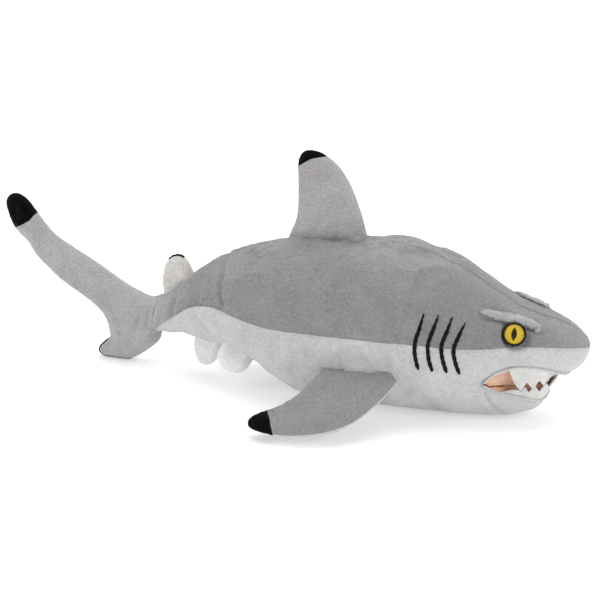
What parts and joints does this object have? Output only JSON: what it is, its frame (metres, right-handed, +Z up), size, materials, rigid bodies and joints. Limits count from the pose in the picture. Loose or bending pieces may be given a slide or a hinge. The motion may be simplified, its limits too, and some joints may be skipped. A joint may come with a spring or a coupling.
{
  "type": "plush shark",
  "caption": "Stuffed plush reef shark with a grey back, white belly, black fin tips, yellow eyes and an open felt-toothed mouth.",
  "frame": {"origin": "on the floor under the middle of the toy's box", "axes": "+X from tail to snout, +Y to the shark's left, +Z up"},
  "size_m": [0.4925, 0.2556, 0.1895],
  "materials": {
    "grey_pile": "short pile plush",
    "white_pile": "short pile plush",
    "black_pile": "short pile plush",
    "stuffing": "polyester fibre fill",
    "felt_lining": "thin felt",
    "felt_teeth": "thin felt",
    "black_thread": "satin stitch",
    "eye_clear": "clear dome over yellow",
    "eye_black": "gloss",
    "washer": "moulded"
  },
  "bodies": {
    "torso": {"belly_panel": "white_pile", "back_panel_right": "grey_pile", "back_panel_left": "grey_pile", "torso_stuffing": "stuffing", "mouth_lining": "felt_lining", "upper_teeth": "felt_teeth", "lower_teeth": "felt_teeth", "gill_stitching_right": "black_thread", "gill_stitching_left": "black_thread", "brow_fold_right": "grey_pile", "brow_fold_left": "grey_pile", "eye_lens_right": "eye_clear", "eye_lens_left": "eye_clear", "eye_backing_right": "eye_black", "eye_backing_left": "eye_black", "eye_washer_right": "washer", "eye_washer_left": "washer"},
    "tail": {"tail_belly_panel": "white_pile", "tail_panel_right": "grey_pile", "tail_panel_left": "grey_pile", "tail_stuffing": "stuffing"},
    "caudal_fin": {"caudal_tip": "black_pile", "caudal_lower_trim": "black_pile", "caudal_panel_right": "grey_pile", "caudal_panel_left": "grey_pile", "caudal_stuffing": "stuffing"},
    "dorsal_fin": {"dorsal_tip": "black_pile", "dorsal_panel_right": "grey_pile", "dorsal_panel_left": "grey_pile", "dorsal_stuffing": "stuffing"},
    "anal_fin": {"anal_fin_panel_right": "white_pile", "anal_fin_panel_left": "white_pile", "anal_fin_stuffing": "stuffing"},
    "second_dorsal_fin": {"second_dorsal_edge_stitching": "black_thread", "second_dorsal_panel_right": "white_pile", "second_dorsal_panel_left": "white_pile", "second_dorsal_stuffing": "stuffing"},
    "pectoral_right": {"pectoral_right_tip": "black_pile", "pectoral_right_underside": "white_pile", "pectoral_right_top": "grey_pile", "pectoral_right_stuffing": "stuffing"},
    "pelvic_right": {"pelvic_right_inner": "white_pile", "pelvic_right_outer": "white_pile", "pelvic_right_stuffing": "stuffing"},
    "pectoral_left": {"pectoral_left_tip": "black_pile", "pectoral_left_underside": "white_pile", "pectoral_left_top": "grey_pile", "pectoral_left_stuffing": "stuffing"},
    "pelvic_left": {"pelvic_left_inner": "white_pile", "pelvic_left_outer": "white_pile", "pelvic_left_stuffing": "stuffing"}
  },
  "joints": [
    {"name": "tail_bend", "type": "hinge", "parent": "torso", "child": "tail", "pos_m": [-0.066, 0, 0.055], "axis": [0, 0, 1], "range_deg": [-25, 25], "stiffness_Nm_per_rad": 0.35},
    {"name": "caudal_bend", "type": "hinge", "parent": "tail", "child": "caudal_fin", "pos_m": [-0.128, 0, 0.04], "axis": [0, 0, 1], "range_deg": [-30, 30], "stiffness_Nm_per_rad": 0.12},
    {"name": "dorsal_lean", "type": "hinge", "parent": "torso", "child": "dorsal_fin", "pos_m": [0.0385, 0, 0.1222], "axis": [0.9949, 0, 0.101], "range_deg": [-30, 30], "stiffness_Nm_per_rad": 0.1},
    {"name": "second_dorsal_lean", "type": "hinge", "parent": "tail", "child": "second_dorsal_fin", "pos_m": [-0.0902, 0, 0.0713], "axis": [0.84, 0, 0.5425], "range_deg": [-30, 30], "stiffness_Nm_per_rad": 0.02},
    {"name": "pectoral_right_lift", "type": "hinge", "parent": "torso", "child": "pectoral_right", "pos_m": [0.089, -0.0589, 0.0348], "axis": [-1, 0, 0], "range_deg": [0, 35], "stiffness_Nm_per_rad": 0.15},
    {"name": "pectoral_left_lift", "type": "hinge", "parent": "torso", "child": "pectoral_left", "pos_m": [0.089, 0.0589, 0.0348], "axis": [1, 0, 0], "range_deg": [0, 35], "stiffness_Nm_per_rad": 0.15},
    {"name": "anal_lean", "type": "hinge", "parent": "tail", "child": "anal_fin", "pos_m": [-0.0645, 0, 0.0269], "axis": [0.9886, 0, -0.1503], "range_deg": [-25, 25], "stiffness_Nm_per_rad": 0.02},
    {"name": "pelvic_right_fold", "type": "hinge", "parent": "torso", "child": "pelvic_right", "pos_m": [-0.031, -0.026, 0.0274], "axis": [-0.9187, 0, 0.395], "range_deg": [-10, 30], "stiffness_Nm_per_rad": 0.02},
    {"name": "pelvic_left_fold", "type": "hinge", "parent": "torso", "child": "pelvic_left", "pos_m": [-0.031, 0.026, 0.0274], "axis": [0.9187, 0, -0.395], "range_deg": [-10, 30], "stiffness_Nm_per_rad": 0.02}
  ]
}
